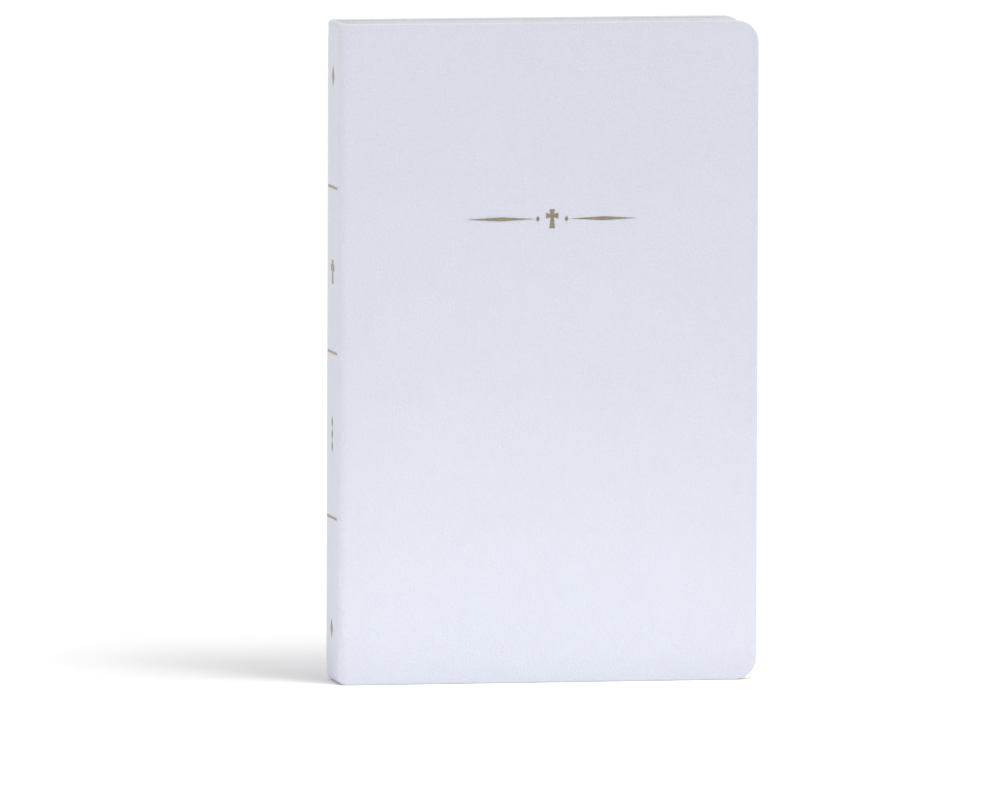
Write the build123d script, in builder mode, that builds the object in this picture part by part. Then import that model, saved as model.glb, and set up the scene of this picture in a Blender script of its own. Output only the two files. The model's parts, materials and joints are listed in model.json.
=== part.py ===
from build123d import *
import os

# A soft-cover gift Bible standing upright: a leather wrap with a spine and two covers, and a sewn page block.
# Millimetres, +Z up. The spine is at -X, the fore edge at +X and the front cover faces -Y.
# The origin is at the middle of the foot, level with the bottom edges of the covers.

# Driving dimensions of the closed book
WIDTH = 137.0
HEIGHT = 213.0
THICKNESS = 24.0

# Covers and leather
LEATHER = 1.4  # leather, turned in at the rim
PASTEDOWN = 0.2  # endpaper pasted inside a cover
COVER = LEATHER + PASTEDOWN
BOARD = 0.6  # stiffener card in the pocket of a cover
BOARD_INSET = 5.0  # width of the turned-in rim round the card
PASTEDOWN_INSET = 0.7  # the endpaper reaches almost to the edge of the cover
CORNER_RADIUS = 7.3  # fore-edge corners of the covers
RIM_RADIUS = 0.5  # softened outer edges of the leather
SPINE_RADIUS = 3.0  # rounded corners between the spine and the covers
HINGE_INSET = 0.4  # from the end of the spine's rounded corner to the hinge
HINGE_SEAM = 0.05  # seam between the spine's leather and a cover's

# Layers behind the spine, from the leather inwards
CARD = 0.9
LINING = 0.4
MULL = 0.6
LAYER_MARGIN = 1.8  # the card and lining stop this far short of the leather's inner corners
GLUE_MARGIN = 0.3  # the mull and glue stop this far inside the covers

# Page block
SQUARE = 1.8  # how far the covers stand out past the pages
SECTIONS_PER_HALF = 7
PAGE_GAP = 0.05
LEAF = 0.2  # a single endpaper, presentation page or map page
NECK = 0.4  # half the thickness of a section at its sewn fold
TAPER = 3.5  # length over which a section swells from its fold to full thickness
PAGE_CORNER_RADIUS = 5.0
LEAF_CLEARANCE = 0.4  # between the opened cover's edge and the first leaf
FOLD_STEP = 0.35  # each of the outer folds stands this much further in than the one outside it
STEPPED_FOLDS = 5

# Gold foil
FOIL = 0.08
DEBOSS = 0.1  # depth of the stamped recess
ORNAMENT_HEIGHT = 149.7  # centre of the front ornament above the foot
ORNAMENT_X = 1.0  # the ornament is centred on the cover's flat part, which starts beside the spine
ORNAMENT_WIDTH = 55.4
CROSS_HEIGHT = 6.1
RULE_WIDTH = 16.0
RULE_THICKNESS = 0.8

# Worked out from the dimensions above
SPINE_X = -WIDTH / 2
FORE_X = WIDTH / 2
HINGE_X = SPINE_X + SPINE_RADIUS + HINGE_INSET
FRONT, BACK = -1, 1  # sides of the book along Y
INNER_HALF = THICKNESS / 2 - COVER
PAGE_FORE_X = FORE_X - SQUARE
PAGE_HEIGHT = HEIGHT - 2 * SQUARE
LEAF_FOLD_X = HINGE_X + COVER + LEAF_CLEARANCE
CARD_X = SPINE_X + LEATHER
LINING_X = CARD_X + CARD
MULL_X = LINING_X + LINING
GLUE_X = MULL_X + MULL
GLUE = LEAF_FOLD_X - LEAF / 2 - PAGE_GAP - GLUE_X
LEAF_STACK = 2 * (PAGE_GAP + LEAF)
SECTION_PITCH = (INNER_HALF - LEAF_STACK) / SECTIONS_PER_HALF
SECTION = SECTION_PITCH - PAGE_GAP

FRONT_FACE = Plane(origin=(0, -THICKNESS / 2, 0), x_dir=(1, 0, 0), z_dir=(0, -1, 0))
BACK_FACE = Plane(origin=(0, THICKNESS / 2, 0), x_dir=(1, 0, 0), z_dir=(0, -1, 0))
SPINE_FACE = Plane(origin=(SPINE_X, 0, 0), x_dir=(0, -1, 0), z_dir=(-1, 0, 0))


def save(piece, label):
    """Names a finished piece and writes it."""
    piece.label = label
    export_step(piece, f"parts/{label}.step")


def cross(x, z, height):
    """A Latin cross with slightly flared ends, drawn about its own middle."""
    width, stem, flare = height * 0.66, height * 0.09, height * 0.15
    arm = height * 0.17  # height of the crossbar above the middle
    with Locations((x, z)):
        Polygon(
            (-flare, -height / 2), (flare, -height / 2), (stem, arm - stem),
            (width / 2, arm - flare), (width / 2, arm + flare), (stem, arm + stem),
            (flare, height / 2), (-flare, height / 2), (-stem, arm + stem),
            (-width / 2, arm + flare), (-width / 2, arm - flare), (-stem, arm - stem),
            align=None,
        )


def lozenge(x, z, width, height):
    """A diamond drawn about its own middle."""
    with Locations((x, z)):
        Polygon((-width / 2, 0), (0, -height / 2), (width / 2, 0), (0, height / 2), align=None)


def front_ornament():
    """A cross between two long tapering rules, each with a small diamond at its inner end."""
    cross(ORNAMENT_X, ORNAMENT_HEIGHT, CROSS_HEIGHT)
    rule_inner, rule_outer = CROSS_HEIGHT * 0.95, ORNAMENT_WIDTH / 2
    for side in (-1, 1):
        lozenge(ORNAMENT_X + side * (rule_inner - 1.1), ORNAMENT_HEIGHT, 1.3, 2.0)
        rule_middle = ORNAMENT_X + side * (rule_inner + rule_outer) / 2
        lozenge(rule_middle, ORNAMENT_HEIGHT, rule_outer - rule_inner, 1.3)


def spine_rules():
    """Three thin rules across the spine at the quarters of its height."""
    for quarter in (1, 2, 3):
        with Locations((0, HEIGHT * quarter / 4)):
            Rectangle(RULE_WIDTH, RULE_THICKNESS)


def spine_ornaments():
    """A generic ornament in each of the four panels between the rules."""
    lozenge(0, HEIGHT * 0.918, 4.4, 6.5)
    cross(0, HEIGHT * 0.622, 7.8)
    for step in (-1, 0, 1):
        lozenge(0, HEIGHT * 0.376 + step * 4.0, 2.2, 3.5)
    lozenge(0, HEIGHT * 0.082, 4.0, 6.0)


def stamp(face, drawing, label):
    """The foil lying at the bottom of the stamped recess that a drawing makes in a face."""
    with BuildPart() as foil:
        with BuildSketch(face.offset(-DEBOSS)):
            drawing()
        extrude(amount=FOIL)
    save(foil.part, label)


def spine_leather():
    """The leather over the spine: a channel with rounded outer corners, stamped for the foil."""
    with BuildPart() as leather:
        with BuildSketch():
            with Locations((SPINE_X, 0)):
                Rectangle(HINGE_X - SPINE_X, THICKNESS, align=(Align.MIN, Align.CENTER))
            fillet(vertices().group_by(Axis.X)[0], SPINE_RADIUS)
        extrude(amount=HEIGHT)
        outer_rims = leather.edges().filter_by(Plane.XY).filter_by(
            lambda edge: edge.center().X < HINGE_X - RIM_RADIUS / 4
        )
        fillet(outer_rims, RIM_RADIUS)
        with BuildSketch():
            with Locations((SPINE_X + LEATHER, 0)):
                Rectangle(
                    HINGE_X - SPINE_X, THICKNESS - 2 * LEATHER, align=(Align.MIN, Align.CENTER)
                )
            fillet(vertices().group_by(Axis.X)[0], SPINE_RADIUS - LEATHER)
        extrude(amount=HEIGHT, mode=Mode.SUBTRACT)
        with BuildSketch(SPINE_FACE):
            spine_rules()
            spine_ornaments()
        extrude(amount=-DEBOSS, mode=Mode.SUBTRACT)
    save(leather.part, "spine_leather")


def spine_layer(label, start, thickness, half_width, inset):
    """A flat layer glued behind the spine, from start inwards."""
    with BuildPart() as layer:
        with BuildSketch(Plane.XY.offset(inset)):
            with Locations((start, 0)):
                Rectangle(thickness, 2 * half_width, align=(Align.MIN, Align.CENTER))
        extrude(amount=HEIGHT - 2 * inset)
    save(layer.part, label)


def cover_outline(inset, radius):
    """The outline of a cover or of a sheet inside it, with round fore-edge corners."""
    left = HINGE_X + HINGE_SEAM + inset
    with Locations((left, inset)):
        Rectangle(FORE_X - inset - left, HEIGHT - 2 * inset, align=(Align.MIN, Align.MIN))
    fillet(vertices().group_by(Axis.X)[-1], radius)


def cover(side, name):
    """One cover: stamped leather with a pocket, the stiffener card in it, and the pasted endpaper."""
    face = FRONT_FACE if side == FRONT else BACK_FACE
    with BuildPart() as leather:
        with BuildSketch(face):
            cover_outline(0, CORNER_RADIUS)
        extrude(amount=side * LEATHER)
        rims = leather.faces().sort_by(Axis.Y)[0 if side == FRONT else -1].edges()
        fillet(rims.filter_by(lambda edge: edge.center().X > HINGE_X + 1), RIM_RADIUS)
        with BuildSketch(face.offset(side * LEATHER)):
            cover_outline(BOARD_INSET, CORNER_RADIUS - BOARD_INSET)
        extrude(amount=-side * BOARD, mode=Mode.SUBTRACT)
        if side == FRONT:
            with BuildSketch(face):
                front_ornament()
            extrude(amount=-DEBOSS, mode=Mode.SUBTRACT)
    save(leather.part, f"{name}_cover_leather")
    with BuildPart() as board:
        with BuildSketch(face.offset(side * LEATHER)):
            cover_outline(BOARD_INSET, CORNER_RADIUS - BOARD_INSET)
        extrude(amount=-side * BOARD)
    save(board.part, f"{name}_cover_board")
    with BuildPart() as pastedown:
        with BuildSketch(face.offset(side * LEATHER)):
            cover_outline(PASTEDOWN_INSET, CORNER_RADIUS - PASTEDOWN_INSET)
        extrude(amount=side * PASTEDOWN)
    save(pastedown.part, f"{name}_pastedown")


def fold_x(order):
    """Where the order-th fold from the outside lies: the outer folds step inwards, then stay in line."""
    return LEAF_FOLD_X + FOLD_STEP * min(order, STEPPED_FOLDS)


def sheet(label, middle, fold, thickness, neck):
    """A leaf or a section: round at its fold, swelling to its full thickness, with round corners."""
    low, high = middle - thickness / 2, middle + thickness / 2
    with BuildPart() as pages:
        with BuildSketch(Plane.XY.offset(SQUARE)):
            with BuildLine():
                ThreePointArc((fold, middle + neck), (fold - neck, middle), (fold, middle - neck))
                Polyline(
                    (fold, middle - neck), (fold + TAPER, low), (PAGE_FORE_X, low),
                    (PAGE_FORE_X, high), (fold + TAPER, high), (fold, middle + neck),
                )
            make_face()
        extrude(amount=PAGE_HEIGHT)
        fillet(pages.edges().filter_by(Axis.Y).group_by(Axis.X)[-1], PAGE_CORNER_RADIUS)
    save(pages.part, label)


def leaf_middle(order):
    """Distance from the middle of the book to the order-th single leaf, counted from a cover."""
    return INNER_HALF - (order + 1) * (PAGE_GAP + LEAF) + LEAF / 2


def section_middle(order):
    """Distance from the middle of the book to the order-th section, counted from a cover."""
    return INNER_HALF - LEAF_STACK - (order + 0.5) * SECTION_PITCH


def page_block():
    """Two single leaves and seven sections behind each cover."""
    leaves = {FRONT: ("front_flyleaf", "presentation_page"), BACK: ("back_flyleaf", "map_page")}
    for side, labels in leaves.items():
        for order, label in enumerate(labels):
            sheet(label, side * leaf_middle(order), fold_x(order), LEAF, LEAF / 2)
    for order in range(SECTIONS_PER_HALF):
        first, last = order + 1, 2 * SECTIONS_PER_HALF - order
        for side, number in ((FRONT, first), (BACK, last)):
            middle = side * section_middle(order)
            sheet(f"section_{number:02d}", middle, fold_x(order + 2), SECTION, NECK)


os.makedirs("parts", exist_ok=True)
spine_leather()
layer_half = THICKNESS / 2 - LEATHER - LAYER_MARGIN
glue_half = INNER_HALF - GLUE_MARGIN
spine_layer("spine_card", CARD_X, CARD, layer_half, SQUARE)
spine_layer("spine_lining", LINING_X, LINING, layer_half, SQUARE)
spine_layer("mull_cloth", MULL_X, MULL, glue_half, SQUARE * 3)
spine_layer("binding_glue", GLUE_X, GLUE, glue_half, SQUARE)
stamp(SPINE_FACE, spine_rules, "spine_rules_foil")
stamp(SPINE_FACE, spine_ornaments, "spine_ornament_foil")
cover(FRONT, "front")
cover(BACK, "back")
stamp(FRONT_FACE, front_ornament, "front_ornament_foil")
page_block()
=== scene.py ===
"""The Bible as it looks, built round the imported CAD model: metres, +Z up, spine at -X, front cover facing -Y."""

import json
import math
import random

import bmesh
import bpy
from mathutils import Matrix, Quaternion, Vector, noise


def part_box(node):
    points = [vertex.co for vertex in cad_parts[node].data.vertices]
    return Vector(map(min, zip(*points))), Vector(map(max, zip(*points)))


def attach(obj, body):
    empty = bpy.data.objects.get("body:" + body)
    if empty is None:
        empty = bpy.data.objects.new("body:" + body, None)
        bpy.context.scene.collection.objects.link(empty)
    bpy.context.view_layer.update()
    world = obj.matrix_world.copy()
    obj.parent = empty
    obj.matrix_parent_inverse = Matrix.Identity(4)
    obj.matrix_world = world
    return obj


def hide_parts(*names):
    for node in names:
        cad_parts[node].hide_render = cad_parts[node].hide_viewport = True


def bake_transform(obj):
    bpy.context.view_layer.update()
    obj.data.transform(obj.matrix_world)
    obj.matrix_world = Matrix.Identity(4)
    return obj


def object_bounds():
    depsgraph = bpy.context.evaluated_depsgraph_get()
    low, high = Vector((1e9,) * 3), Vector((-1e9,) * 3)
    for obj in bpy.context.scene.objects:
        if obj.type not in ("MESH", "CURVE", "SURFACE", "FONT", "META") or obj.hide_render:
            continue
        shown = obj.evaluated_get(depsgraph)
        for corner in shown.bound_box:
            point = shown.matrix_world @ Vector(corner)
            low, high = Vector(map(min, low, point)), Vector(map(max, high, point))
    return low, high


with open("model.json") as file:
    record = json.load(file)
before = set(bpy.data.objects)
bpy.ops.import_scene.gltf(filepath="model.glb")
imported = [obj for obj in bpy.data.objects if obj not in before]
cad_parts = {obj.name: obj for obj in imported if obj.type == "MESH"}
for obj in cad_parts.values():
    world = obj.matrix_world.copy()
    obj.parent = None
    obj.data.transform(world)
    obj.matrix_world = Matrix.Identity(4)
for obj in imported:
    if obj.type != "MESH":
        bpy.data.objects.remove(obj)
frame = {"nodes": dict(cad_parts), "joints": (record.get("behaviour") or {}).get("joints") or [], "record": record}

cad_low, cad_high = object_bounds()
random.seed(7)

MM = 0.001

# ---------------------------------------------------------------- sizes, from the frame
JOINTS = {joint["name"]: joint for joint in frame["joints"]}
SLOTS = {material["slot"]: material for material in frame["record"]["materials"]}
SPINE_X, FORE_X = cad_low.x, cad_high.x
HEIGHT = cad_high.z
HALF_THICKNESS = cad_high.y
HINGE_X = JOINTS["front_cover_hinge"]["pos_m"][0]
leather_low, leather_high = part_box("front_cover_leather")
LEATHER = leather_high.y - leather_low.y

# ---------------------------------------------------------------- sizes that repeat the CAD source's
SPINE_RADIUS = 3.0 * MM
CORNER_RADIUS = 7.3 * MM
PAGE_CORNER_RADIUS = 5.0 * MM
NECK = 0.4 * MM  # half the thickness of a section at its fold
TAPER = 3.5 * MM  # length over which a section swells from its fold to full thickness

# ---------------------------------------------------------------- sizes that only the looks have
HINGE_BEND = 3.8 * MM  # width of leather that bends when a cover opens
OUTER_RIM = 0.55 * MM  # rounding of the leather's edge, outside and inside
INNER_RIM = 0.5 * MM
RIM_SUPPORT = 0.5 * MM  # flat strip beside the rounding, which keeps its shading tight
FOOT_CURL = 2.6 * MM  # the ends of the spine's leather curl in over this height
HEAD_CURL = 1.2 * MM
FOIL_LIFT = 0.05 * MM
LEAVES_PER_SECTION = 32
LEAF_UNEVENNESS = 0.14 * MM  # the most that a ply's edge stands back

# Relief of the leather's outer face
BORDER_START = 3.5 * MM  # from the edge, where the flattened border starts to rise
BORDER_END = 6.5 * MM
BORDER_DEPTH = 0.10 * MM
CREASE_OFFSET = 2.4 * MM  # from the hinge to the soft crease beside it
CREASE_WIDTH = 1.8 * MM
CREASE_DEPTH = 0.03 * MM
WAVE_DEPTH = 0.06 * MM
WAVE_FADE = 4 * MM  # the gentle unevenness fades out over this distance from the edge
WAVES_ALONG = 28  # per metre
WAVES_UP = 22
WAVE_SLICE = 0.3  # where the noise is cut

# Sizes of the faces
FLAT_STEP = 3 * MM  # along the wrap, where it is flat
CORNER_STEP = 0.6 * MM  # round the spine's corners
BEND_STEP = 0.4 * MM  # across a bending hinge
RISE_STEP = 4 * MM  # up the wrap
CURL_STEP = 0.3 * MM
RIM_STEPS = 6
COVER_CORNER_STEPS = 10
PAGE_CORNER_STEPS = 8
SHARP_ANGLE = math.radians(40)
CUT_TOLERANCE = 1e-7

# Print area of a page: two columns of lines
PRINT_MIDDLE = 5.0 * MM
COLUMN_MIDDLE = 25.5 * MM  # from the middle of the page
COLUMN_HALF_WIDTH = 23.0 * MM
PRINT_HALF_HEIGHT = 90.0 * MM
LINE_PITCH = 3.4 * MM
LINE_SHARE = 0.36  # of the pitch, taken up by a bar
WORD_SCALE = 520.0  # breaks along a line, per metre
LINE_OFFSET = 7.31  # how far the noise moves on from line to line
WORD_THRESHOLD = 0.42
INK = (0.66, 0.66, 0.67, 1)

# Tones that multiply a slot's colour
FOIL_TONE = (0.56, 0.57, 0.68)  # the stamped foil is darker and less yellow than a flat sheet of it
ENDPAPER_TONE = (0.89, 0.91, 0.965)  # a cooler white than the record says, as the strip between the covers shows


# ---------------------------------------------------------------- material helpers
def new_material(name):
    """A material with its node tree, and its Principled shader."""
    material = bpy.data.materials.new(name)
    material.use_nodes = True
    return material, material.node_tree, material.node_tree.nodes["Principled BSDF"]


def set_inputs(made, **values):
    """Sets constants on a node's own sockets; an underscore in a name stands for a space."""
    for name, value in values.items():
        made.inputs[name.replace("_", " ")].default_value = value


def node(tree, kind, **settings):
    """A node of a kind; a setting is a property of the node or the constant on one of its sockets."""
    made = tree.nodes.new(kind)
    for key, value in settings.items():
        if hasattr(made, key):
            setattr(made, key, value)
        else:
            set_inputs(made, **{key: value})
    return made


def link(tree, *pairs):
    """Joins outputs to inputs, each pair being (output socket, input socket)."""
    for source, target in pairs:
        tree.links.new(source, target)


def object_coordinates(tree, scale=(1, 1, 1)):
    """The piece's own coordinates in metres, stretched by scale."""
    place = node(tree, "ShaderNodeTexCoord")
    stretch = node(tree, "ShaderNodeMapping", Scale=scale)
    link(tree, (place.outputs["Object"], stretch.inputs["Vector"]))
    return stretch.outputs["Vector"]


def texture(tree, place, kind, **settings):
    """A texture node that reads a place."""
    made = node(tree, kind, **settings)
    link(tree, (place, made.inputs["Vector"]))
    return made


def ramp(tree, source, stops):
    """A colour ramp over a source value; stops are (position, colour)."""
    made = node(tree, "ShaderNodeValToRGB")
    elements = made.color_ramp.elements
    while len(elements) < len(stops):
        elements.new(0.5)
    for element, (position, colour) in zip(elements, stops):
        element.position = position
        element.color = (*colour, 1)
    link(tree, (source, made.inputs["Fac"]))
    return made.outputs["Color"]


def bump(tree, shader, height, strength, distance):
    """Gives a shader the relief of a height; distance is in metres."""
    made = node(tree, "ShaderNodeBump", Strength=strength, Distance=distance)
    link(tree, (height, made.inputs["Height"]), (made.outputs["Normal"], shader.inputs["Normal"]))


def math_node(tree, operation, *operands):
    """One arithmetic step; each operand is a socket or a number."""
    made = node(tree, "ShaderNodeMath", operation=operation)
    for index, operand in enumerate(operands):
        if isinstance(operand, (int, float)):
            made.inputs[index].default_value = operand
        else:
            link(tree, (operand, made.inputs[index]))
    return made.outputs["Value"]


def weighted(tree, first, first_share, second, second_share):
    """The weighted sum of two sockets."""
    return math_node(tree, "MULTIPLY_ADD", first, first_share, math_node(tree, "MULTIPLY", second, second_share))


def distance_from(tree, value, middle):
    """How far a socket's value is from a middle, on either side."""
    return math_node(tree, "ABSOLUTE", math_node(tree, "SUBTRACT", value, middle))


def shade(colour, factor):
    """A colour made lighter or darker by a factor."""
    return [min(1.0, channel * factor) for channel in colour]


def slot_colour(slot, tone=(1, 1, 1)):
    """The record's colour of a material slot, with each channel multiplied by a tone."""
    return [channel * factor for channel, factor in zip(SLOTS[slot]["base_color"], tone)]


# ---------------------------------------------------------------- materials
def leather_material():
    """White imitation leather: a fine pebble grain with pores, and a soft uneven sheen."""
    material, tree, shader = new_material("white_leather")
    place = object_coordinates(tree)
    colour = slot_colour("white_leather")
    pebbles = texture(tree, place, "ShaderNodeTexVoronoi", feature="SMOOTH_F1", Scale=1250.0, Smoothness=0.7)
    creases = texture(tree, place, "ShaderNodeTexVoronoi", feature="DISTANCE_TO_EDGE", Scale=900.0)
    pores = texture(tree, place, "ShaderNodeTexNoise", Scale=2600.0, Detail=3.0)
    patches = texture(tree, place, "ShaderNodeTexNoise", Scale=45.0, Detail=4.0)
    crease_rise = math_node(tree, "MINIMUM", math_node(tree, "MULTIPLY", creases.outputs["Distance"], 4.0), 1.0)
    grain = math_node(tree, "MULTIPLY_ADD", pebbles.outputs["Distance"], -1.0, crease_rise)
    height = math_node(tree, "MULTIPLY_ADD", pores.outputs["Fac"], 0.35, grain)
    bump(tree, shader, height, strength=0.5, distance=0.12 * MM)
    # The colour varies in large patches of the leather's own tone, and is a little darker in the grain's creases:
    # painted shade.
    tone = weighted(tree, patches.outputs["Fac"], 0.7, grain, 0.3)
    link(
        tree,
        (ramp(tree, tone, [(0.15, shade(colour, 0.975)), (0.75, shade(colour, 1.01))]), shader.inputs["Base Color"]),
        (math_node(tree, "MULTIPLY_ADD", patches.outputs["Fac"], 0.14, 0.40), shader.inputs["Roughness"]),
    )
    set_inputs(shader, Specular_IOR_Level=0.42, Sheen_Weight=0.06, Coat_Weight=0.06, Coat_Roughness=0.38)
    return material


def foil_material():
    """Pale gold stamping foil that takes the grain of the leather, a little worn in places."""
    material, tree, shader = new_material("gold_foil")
    place = object_coordinates(tree)
    colour = slot_colour("gold_foil", FOIL_TONE)
    grain = texture(tree, place, "ShaderNodeTexVoronoi", feature="SMOOTH_F1", Scale=1050.0, Smoothness=0.7)
    wear = texture(tree, place, "ShaderNodeTexNoise", Scale=700.0, Detail=5.0)
    bump(tree, shader, grain.outputs["Distance"], strength=0.25, distance=0.05 * MM)
    tones = [(0.3, shade(colour, 0.8)), (0.55, colour), (0.8, shade(colour, 1.2))]
    link(
        tree,
        (ramp(tree, wear.outputs["Fac"], tones), shader.inputs["Base Color"]),
        (math_node(tree, "MULTIPLY_ADD", wear.outputs["Fac"], 0.25, 0.28), shader.inputs["Roughness"]),
    )
    set_inputs(shader, Metallic=0.85)
    return material


def paper_material(name, slot, fibre_scale=900.0, tone=(1, 1, 1)):
    """Matt paper with a faint mottle and fibres."""
    material, tree, shader = new_material(name)
    place = object_coordinates(tree)
    colour = slot_colour(slot, tone)
    fibres = texture(tree, place, "ShaderNodeTexNoise", Scale=fibre_scale, Detail=6.0, Roughness=0.65)
    mottle = texture(tree, place, "ShaderNodeTexNoise", Scale=60.0, Detail=3.0)
    bump(tree, shader, fibres.outputs["Fac"], strength=0.2, distance=0.03 * MM)
    mixed = weighted(tree, fibres.outputs["Fac"], 0.6, mottle.outputs["Fac"], 0.4)
    tones = [(0.3, shade(colour, 0.96)), (0.7, shade(colour, 1.02))]
    link(tree, (ramp(tree, mixed, tones), shader.inputs["Base Color"]))
    set_inputs(shader, Roughness=0.85, Specular_IOR_Level=0.25)
    return material


def ruled_page_material():
    """Bible paper with two columns of faint broken grey bars, which stand for the print without being lettering."""
    material = paper_material("page_print", "page_paper")
    tree = material.node_tree
    shader = tree.nodes["Principled BSDF"]
    paper_colour = shader.inputs["Base Color"].links[0].from_socket
    split = node(tree, "ShaderNodeSeparateXYZ")
    link(tree, (object_coordinates(tree), split.inputs["Vector"]))
    x, z = split.outputs["X"], split.outputs["Z"]
    from_column = distance_from(tree, distance_from(tree, x, PRINT_MIDDLE), COLUMN_MIDDLE)
    in_column = math_node(tree, "LESS_THAN", from_column, COLUMN_HALF_WIDTH)
    in_height = math_node(tree, "LESS_THAN", distance_from(tree, z, HEIGHT / 2), PRINT_HALF_HEIGHT)
    line_number = math_node(tree, "DIVIDE", z, LINE_PITCH)
    in_line = math_node(tree, "LESS_THAN", math_node(tree, "FRACT", line_number), LINE_SHARE)
    word_place = node(tree, "ShaderNodeCombineXYZ")
    link(
        tree,
        (math_node(tree, "MULTIPLY", x, WORD_SCALE), word_place.inputs["X"]),
        (
            math_node(tree, "MULTIPLY", math_node(tree, "FLOOR", line_number), LINE_OFFSET),
            word_place.inputs["Y"],
        ),
    )
    words = texture(tree, word_place.outputs["Vector"], "ShaderNodeTexNoise", Scale=1.0, Detail=1.0)
    in_word = math_node(tree, "GREATER_THAN", words.outputs["Fac"], WORD_THRESHOLD)
    in_print_area = math_node(tree, "MULTIPLY", in_column, in_height)
    printed = math_node(tree, "MULTIPLY", in_print_area, math_node(tree, "MULTIPLY", in_line, in_word))
    ink = node(tree, "ShaderNodeMix", data_type="RGBA", blend_type="MULTIPLY", B=INK)
    link(
        tree,
        (printed, ink.inputs["Factor"]),
        (paper_colour, ink.inputs["A"]),
        (ink.outputs["Result"], shader.inputs["Base Color"]),
    )
    return material


def page_edge_material():
    """The cut edges of thin stacked leaves: fine lines along the edge, with painted shade between the leaves and
    painted light on their edges.
    """
    material, tree, shader = new_material("page_edges")
    colour = slot_colour("page_paper")
    across_leaves = object_coordinates(tree, (7, 11000, 7))
    lines = texture(tree, across_leaves, "ShaderNodeTexNoise", Scale=1.0, Detail=4.0, Roughness=0.7)
    flecks = texture(tree, object_coordinates(tree), "ShaderNodeTexNoise", Scale=350.0, Detail=4.0)
    bump(tree, shader, lines.outputs["Fac"], strength=0.35, distance=0.04 * MM)
    # The fine lines are painted shade between the leaves and painted light on their edges; the flecks are the paper's
    # own tone.
    tone = weighted(tree, lines.outputs["Fac"], 0.88, flecks.outputs["Fac"], 0.12)
    tones = [(0.32, shade(colour, 0.8)), (0.62, shade(colour, 1.03))]
    link(tree, (ramp(tree, tone, tones), shader.inputs["Base Color"]))
    set_inputs(shader, Roughness=0.8, Specular_IOR_Level=0.25)
    return material


def mull_material():
    """Open cotton weave, starched."""
    material, tree, shader = new_material("mull")
    place = object_coordinates(tree)
    colour = slot_colour("mull")
    warp = texture(tree, place, "ShaderNodeTexWave", bands_direction="Y", Scale=180.0, Distortion=0.6)
    weft = texture(tree, place, "ShaderNodeTexWave", bands_direction="Z", Scale=180.0, Distortion=0.6)
    weave = math_node(tree, "MULTIPLY", warp.outputs["Fac"], weft.outputs["Fac"])
    bump(tree, shader, weave, strength=0.6, distance=0.2 * MM)
    # The weave is painted darker between the threads: painted shade in its gaps.
    link(tree, (ramp(tree, weave, [(0.1, shade(colour, 0.72)), (0.6, colour)]), shader.inputs["Base Color"]))
    set_inputs(shader, Roughness=0.9)
    return material


def glue_material():
    """Cream hot-melt glue, slightly glossy and uneven."""
    material, tree, shader = new_material("binding_glue")
    colour = slot_colour("glue")
    lumps = texture(tree, object_coordinates(tree), "ShaderNodeTexNoise", Scale=220.0, Detail=3.0)
    bump(tree, shader, lumps.outputs["Fac"], strength=0.5, distance=0.3 * MM)
    tones = [(0.3, shade(colour, 0.9)), (0.7, colour)]
    link(tree, (ramp(tree, lumps.outputs["Fac"], tones), shader.inputs["Base Color"]))
    set_inputs(shader, Roughness=0.38, Subsurface_Weight=0.1)
    return material


def floor_material():
    """A plain pale floor."""
    material, _, shader = new_material("floor")
    set_inputs(shader, Base_Color=(0.965, 0.965, 0.965, 1), Roughness=0.9, Specular_IOR_Level=0.1)
    return material


# ---------------------------------------------------------------- mesh helpers
def add_object(name, data):
    """A new object in the scene."""
    made = bpy.data.objects.new(name, data)
    bpy.context.scene.collection.objects.link(made)
    return made


def finish_mesh(name, mesh_builder, materials, smooth=True):
    """Turns a bmesh into an object in the scene."""
    bmesh.ops.recalc_face_normals(mesh_builder, faces=mesh_builder.faces)
    mesh = bpy.data.meshes.new(name)
    mesh_builder.to_mesh(mesh)
    mesh_builder.free()
    for polygon in mesh.polygons:
        polygon.use_smooth = smooth
    mesh.set_sharp_from_angle(angle=SHARP_ANGLE)
    for material in materials:
        mesh.materials.append(material)
    return add_object(name, mesh)


def smoothstep(low, high, value):
    """0 below low, 1 above high, and a smooth rise between them."""
    share = min(1.0, max(0.0, (value - low) / (high - low)))
    return share * share * (3 - 2 * share)


def slice_mesh(mesh_builder, axis, positions):
    """Cuts the whole mesh by planes across an axis."""
    normal = Vector((0, 0, 0))
    normal[axis] = 1
    for position in positions:
        geometry = mesh_builder.verts[:] + mesh_builder.edges[:] + mesh_builder.faces[:]
        bmesh.ops.bisect_plane(
            mesh_builder, geom=geometry, dist=CUT_TOLERANCE, plane_co=normal * position, plane_no=normal
        )


def evenly(low, high, step):
    """Positions strictly between low and high, about step apart."""
    count = max(1, round((high - low) / step))
    return [low + (high - low) * index / count for index in range(1, count)]


def quarter_turn(steps, start=0.0):
    """Angles evenly over a quarter turn."""
    return [start + math.pi / 2 * step / steps for step in range(steps + 1)]


def rounded_outline(left, right, bottom, top, radius, steps):
    """A rectangle whose two right-hand corners are rounded, from its lower left corner round to its upper left."""
    points = [(left, bottom)]
    for centre, start in ((bottom + radius, -math.pi / 2), (top - radius, 0.0)):
        for angle in quarter_turn(steps, start):
            points.append((right - radius + radius * math.cos(angle), centre + radius * math.sin(angle)))
    points.append((left, top))
    return points


def join_rings(mesh_builder, rings, material_index=0):
    """Faces all the way round between each ring of vertices and the next."""
    for first, second in zip(rings, rings[1:]):
        for index in range(len(first)):
            following = (index + 1) % len(first)
            corners = (first[index], first[following], second[following], second[index])
            mesh_builder.faces.new(corners).material_index = material_index


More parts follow.
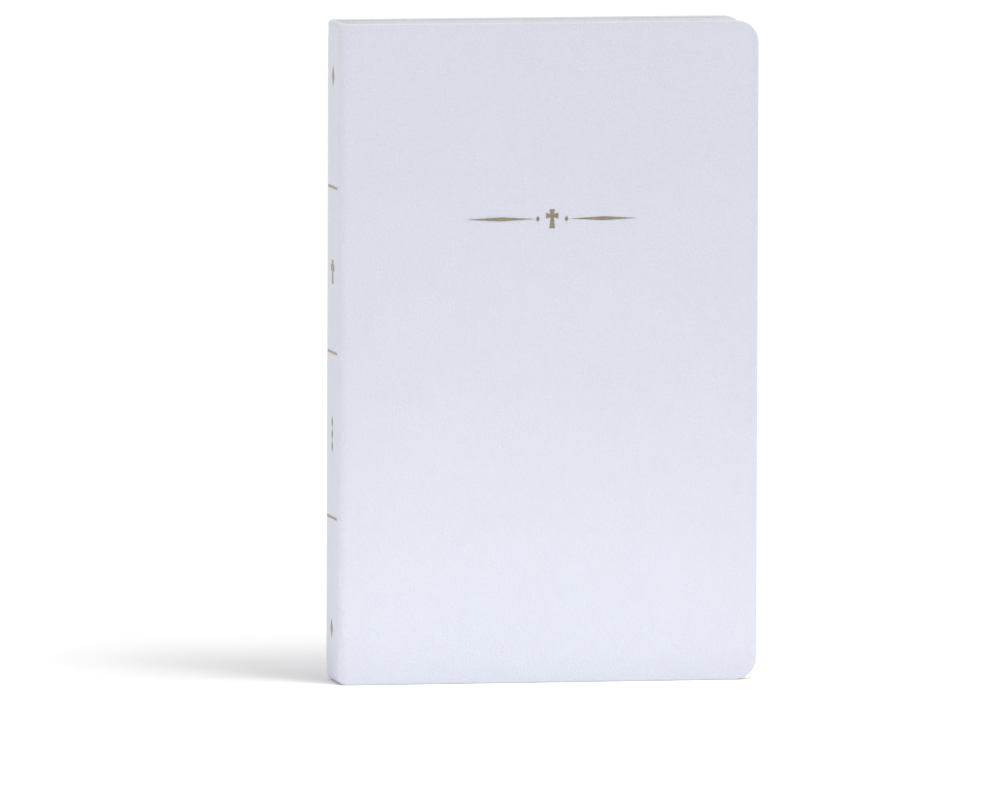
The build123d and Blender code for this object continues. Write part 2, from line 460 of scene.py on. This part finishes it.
# ---------------------------------------------------------------- the leather wrap
FLAT_SPINE = HALF_THICKNESS - SPINE_RADIUS  # from the middle of the spine to its rounded corner
COVER_START = FLAT_SPINE + SPINE_RADIUS * math.pi / 2
WRAP_LENGTH = COVER_START + FORE_X - SPINE_X - SPINE_RADIUS
HINGE_U = COVER_START + HINGE_X - SPINE_X - SPINE_RADIUS


def rim_profile():
    """(inset, depth) round the leather's edge, from the outer face to the inner one."""
    outer = [
        (OUTER_RIM * (1 - math.sin(angle)), OUTER_RIM * (1 - math.cos(angle))) for angle in quarter_turn(RIM_STEPS)
    ]
    inner = [
        (INNER_RIM * (1 - math.cos(angle)), LEATHER - INNER_RIM * (1 - math.sin(angle)))
        for angle in quarter_turn(RIM_STEPS)
    ]
    support = OUTER_RIM + RIM_SUPPORT
    return [(support, 0.0), *outer, *inner, (support, LEATHER)]


def relief(u, v, side):
    """How far the outer face lies inside its plane: a turned-in border, a soft crease and gentle unevenness."""
    edge = min(v, HEIGHT - v, WRAP_LENGTH - u)
    border = BORDER_DEPTH * (1 - smoothstep(BORDER_START, BORDER_END, edge))
    crease = CREASE_DEPTH * math.exp(-(((u - HINGE_U - CREASE_OFFSET) / CREASE_WIDTH) ** 2))
    waves = WAVE_DEPTH * (1 + noise.noise(Vector((side * u * WAVES_ALONG, v * WAVES_UP, WAVE_SLICE))))
    return border + crease + waves * smoothstep(0, WAVE_FADE, edge)


def curl(u, v):
    """How far the spine's leather curls inwards at its foot and head; the curl fades round the spine's corners."""
    inwards = 0.0
    for distance, radius in ((v, FOOT_CURL), (HEIGHT - v, HEAD_CURL)):
        share = max(0.0, 1 - distance / radius)
        inwards += radius * (1 - math.sqrt(1 - share * share))
    return inwards * (1 - smoothstep(FLAT_SPINE, COVER_START, u))


def rolled(u, depth, side):
    """The place in plan of a point of the unrolled wrap: round the spine's corner and along the cover."""
    if u < FLAT_SPINE:
        return SPINE_X + depth, side * u
    if u < COVER_START:
        angle = (u - FLAT_SPINE) / SPINE_RADIUS
        radius = SPINE_RADIUS - depth
        return (
            SPINE_X + SPINE_RADIUS - radius * math.cos(angle),
            side * (FLAT_SPINE + radius * math.sin(angle)),
        )
    return SPINE_X + SPINE_RADIUS + u - COVER_START, side * (HALF_THICKNESS - depth)


def slice_wrap(built):
    """Cuts the unrolled wrap finely enough to roll, bend, curl and wave."""
    bend_end = HINGE_U + HINGE_BEND
    slice_mesh(built, 0, evenly(0, FLAT_SPINE, FLAT_STEP) + [FLAT_SPINE])
    slice_mesh(built, 0, evenly(FLAT_SPINE, COVER_START, CORNER_STEP) + [COVER_START])
    slice_mesh(built, 0, [HINGE_U] + evenly(HINGE_U, bend_end, BEND_STEP) + [bend_end])
    slice_mesh(built, 0, evenly(bend_end, WRAP_LENGTH, FLAT_STEP))
    slice_mesh(built, 2, evenly(0, HEIGHT, RISE_STEP))
    slice_mesh(built, 2, evenly(0, FOOT_CURL, CURL_STEP) + evenly(HEIGHT - HEAD_CURL, HEIGHT, CURL_STEP))
    for distance in (BORDER_START, (BORDER_START + BORDER_END) / 2, BORDER_END):
        slice_mesh(built, 0, [WRAP_LENGTH - distance])
        slice_mesh(built, 2, [distance, HEIGHT - distance])


def wrap_half(name, side, body, leather, *nodes):
    """Half of the spine and one cover as one piece of leather, rolled round the spine's corner, which replaces its CAD
    nodes.
    """
    built = bmesh.new()
    rings = []
    for inset, depth in rim_profile():
        outline = rounded_outline(
            0.0, WRAP_LENGTH - inset, inset, HEIGHT - inset, CORNER_RADIUS - inset, COVER_CORNER_STEPS
        )
        rings.append([built.verts.new((u, depth, v)) for u, v in outline])
    for first, second in zip(rings, rings[1:]):
        for index in range(len(first) - 1):
            built.faces.new((first[index], first[index + 1], second[index + 1], second[index]))
    built.faces.new(rings[0])
    built.faces.new(rings[-1])
    built.faces.new([ring[0] for ring in rings] + [ring[-1] for ring in reversed(rings)])
    slice_wrap(built)
    for vertex in built.verts:
        u, depth, v = vertex.co
        outer_share = max(0.0, 1 - depth / (LEATHER / 2))
        x, y = rolled(u, depth + relief(u, v, side) * outer_share, side)
        vertex.co = (x + curl(u, v), y, v)
    made = finish_mesh(name, built, [leather])
    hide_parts(*nodes)
    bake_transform(made)
    return made


# ---------------------------------------------------------------- foil
def foil(name, cad_node, body, outwards, material):
    """The foil of a CAD node, lifted to lie on the grain of the leather."""
    mesh = frame["nodes"][cad_node].data.copy()
    mesh.name = name
    made = add_object(name, mesh)
    mesh.transform(Matrix.Translation(outwards))
    mesh.materials.clear()
    mesh.materials.append(material)
    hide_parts(cad_node)
    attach(made, body)
    return made


# ---------------------------------------------------------------- pages
def fold_start(from_middle, low_x, half_thickness):
    """Where a leaf of a section begins: leaves near the middle reach the fold, and outer ones swell away from it."""
    neck = min(NECK, half_thickness)
    if from_middle <= neck:
        return low_x + neck - math.sqrt(neck * neck - from_middle * from_middle)
    return low_x + neck + TAPER * (from_middle - neck) / (half_thickness - neck)


def page_stack(cad_node, leaves, face, edge):
    """A section, or one leaf, as separate thin plies whose edges don't quite line up."""
    low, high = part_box(cad_node)
    middle = (low.y + high.y) / 2
    built = bmesh.new()
    rings = []
    for index in range(leaves):
        near = low.y + (high.y - low.y) * index / leaves
        far = low.y + (high.y - low.y) * (index + 1) / leaves
        inset = random.uniform(0.0, LEAF_UNEVENNESS) if leaves > 1 else 0.0
        from_middle = max(abs(near - middle), abs(far - middle)) if leaves > 1 else 0.0
        outline = rounded_outline(
            fold_start(from_middle, low.x, high.y - middle),
            high.x - inset,
            low.z + inset,
            high.z - inset,
            PAGE_CORNER_RADIUS - inset,
            PAGE_CORNER_STEPS,
        )
        for y in (near, far):
            rings.append([built.verts.new((x, y, z)) for x, z in outline])
    join_rings(built, rings, material_index=1)
    built.faces.new(rings[0])
    built.faces.new(rings[-1])
    made = finish_mesh(f"{cad_node}_paper", built, [face, edge], smooth=False)
    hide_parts(cad_node)
    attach(made, cad_node)
    return made


def pastedown(cad_node, material):
    """The endpaper pasted inside a cover, sliced finely from its spine edge to just past the hinge."""
    low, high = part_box(cad_node)
    radius = CORNER_RADIUS - (FORE_X - high.x)
    outline = rounded_outline(low.x, high.x, low.z, high.z, radius, PAGE_CORNER_STEPS)
    built = bmesh.new()
    rings = [[built.verts.new((x, y, z)) for x, z in outline] for y in (low.y, high.y)]
    join_rings(built, rings)
    built.faces.new(rings[0])
    built.faces.new(rings[1])
    slice_mesh(built, 0, evenly(low.x, HINGE_X + HINGE_BEND, BEND_STEP) + [HINGE_X + HINGE_BEND])
    made = finish_mesh(f"{cad_node}_paper", built, [material], smooth=False)
    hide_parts(cad_node)
    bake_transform(made)
    return made


def paint_cad(cad_node, material):
    """Gives a CAD node a better material."""
    for slot in frame["nodes"][cad_node].material_slots:
        slot.link = "OBJECT"
        slot.material = material


# ---------------------------------------------------------------- the object
leather = leather_material()
gold = foil_material()
endpaper = paper_material("endpaper", "endpaper", tone=ENDPAPER_TONE)
page_face = paper_material("page_paper", "page_paper")
page_print = ruled_page_material()
page_edge = page_edge_material()
card = paper_material("grey_card", "grey_card", fibre_scale=500.0)

wrap_half("leather_front", -1, "front_cover", leather, "front_cover_leather", "spine_leather")
wrap_half("leather_back", 1, "back_cover", leather, "back_cover_leather", "spine_leather")
foil("front_ornament", "front_ornament_foil", "front_cover", (0, -FOIL_LIFT, 0), gold)
foil("spine_rules", "spine_rules_foil", "spine", (-FOIL_LIFT, 0, 0), gold)
foil("spine_ornaments", "spine_ornament_foil", "spine", (-FOIL_LIFT, 0, 0), gold)
pastedown("front_pastedown", endpaper)
pastedown("back_pastedown", endpaper)
for leaf in ("front_flyleaf", "back_flyleaf"):
    page_stack(leaf, 1, endpaper, endpaper)
for leaf in ("presentation_page", "map_page"):
    page_stack(leaf, 1, page_face, page_edge)
for section in sorted(name for name in frame["nodes"] if name.startswith("section_")):
    page_stack(section, LEAVES_PER_SECTION, page_print, page_edge)
for cad_node in ("spine_card", "spine_lining", "front_cover_board", "back_cover_board"):
    paint_cad(cad_node, card)
paint_cad("mull_cloth", mull_material())
paint_cad("binding_glue", glue_material())


# ---------------------------------------------------------------- camera, floor and light
# Angles in degrees, lengths in metres
VIEW_AZIMUTH = -10.8
VIEW_ELEVATION = 5.0
VIEW_ROLL = 0.2
VIEW_DISTANCE = 8.0
VIEW_DEPTH = 50  # how far the camera sees
FRAME_WIDTH = 0.3219  # width of the frame at the book
BOOK_RIGHT_OF_CENTRE = 0.0134
BOOK_ABOVE_CENTRE = 0.0162
FLOOR_SIZE = 16

SKY_STRENGTH = 0.697


def towards(azimuth, elevation):
    """The direction from the book towards a place around it; azimuth 0 is straight in front, positive to the right."""
    azimuth, elevation = math.radians(azimuth), math.radians(elevation)
    flat = math.cos(elevation)
    return Vector((math.sin(azimuth) * flat, -math.cos(azimuth) * flat, math.sin(elevation)))


def sun_light(name, azimuth, elevation, energy, softness):
    """A distant soft light; softness is how wide it looks, in degrees."""
    data = bpy.data.lights.new(name, "SUN")
    data.energy = energy
    data.angle = math.radians(softness)
    made = add_object(name, data)
    made.rotation_mode = "QUATERNION"
    made.rotation_quaternion = towards(azimuth, elevation).to_track_quat("Z", "Y")


def downlight(name, place, size, spread, energy):
    """A narrow soft strip over the floor, pointing straight down; spread in degrees."""
    data = bpy.data.lights.new(name, "AREA")
    data.shape = "RECTANGLE"
    data.size, data.size_y = size
    data.spread = math.radians(spread)
    data.energy = energy
    add_object(name, data).location = place


camera_data = bpy.data.cameras.new("camera")
camera = add_object("camera", camera_data)
bpy.context.scene.camera = camera
back = towards(VIEW_AZIMUTH, VIEW_ELEVATION)
camera.rotation_mode = "QUATERNION"
camera.rotation_quaternion = back.to_track_quat("Z", "Y") @ Quaternion((0, 0, 1), math.radians(VIEW_ROLL))
right = camera.rotation_quaternion @ Vector((1, 0, 0))
up = camera.rotation_quaternion @ Vector((0, 1, 0))
book_middle = (cad_low + cad_high) / 2
camera.location = book_middle - right * BOOK_RIGHT_OF_CENTRE - up * BOOK_ABOVE_CENTRE + back * VIEW_DISTANCE
camera_data.lens = camera_data.sensor_width * VIEW_DISTANCE / FRAME_WIDTH
camera_data.clip_end = VIEW_DEPTH

floor_builder = bmesh.new()
bmesh.ops.create_grid(floor_builder, x_segments=2, y_segments=2, size=FLOOR_SIZE)
floor = finish_mesh("floor", floor_builder, [floor_material()])

world = bpy.data.worlds.new("studio")
bpy.context.scene.world = world
world.use_nodes = True
set_inputs(world.node_tree.nodes["Background"], Color=(1, 1, 1, 1), Strength=SKY_STRENGTH)

# Three keys from the right lay the shadow on the floor to the left and behind. The fill lights the spine, and the
# downlight brightens the floor in front, which throws light up on the lower half of the cover.
sun_light("key_side", azimuth=66, elevation=70, energy=0.32, softness=14)
sun_light("key", azimuth=41, elevation=63, energy=0.57, softness=14)
sun_light("key_front", azimuth=25, elevation=55, energy=0.41, softness=16)
sun_light("side_fill", azimuth=-80, elevation=10, energy=0.38, softness=40)
downlight("floor_glow", place=(0, -0.08, 0.4), size=(0.30, 0.08), spread=20, energy=0.066)
bpy.context.scene.view_settings.view_transform = "Standard"
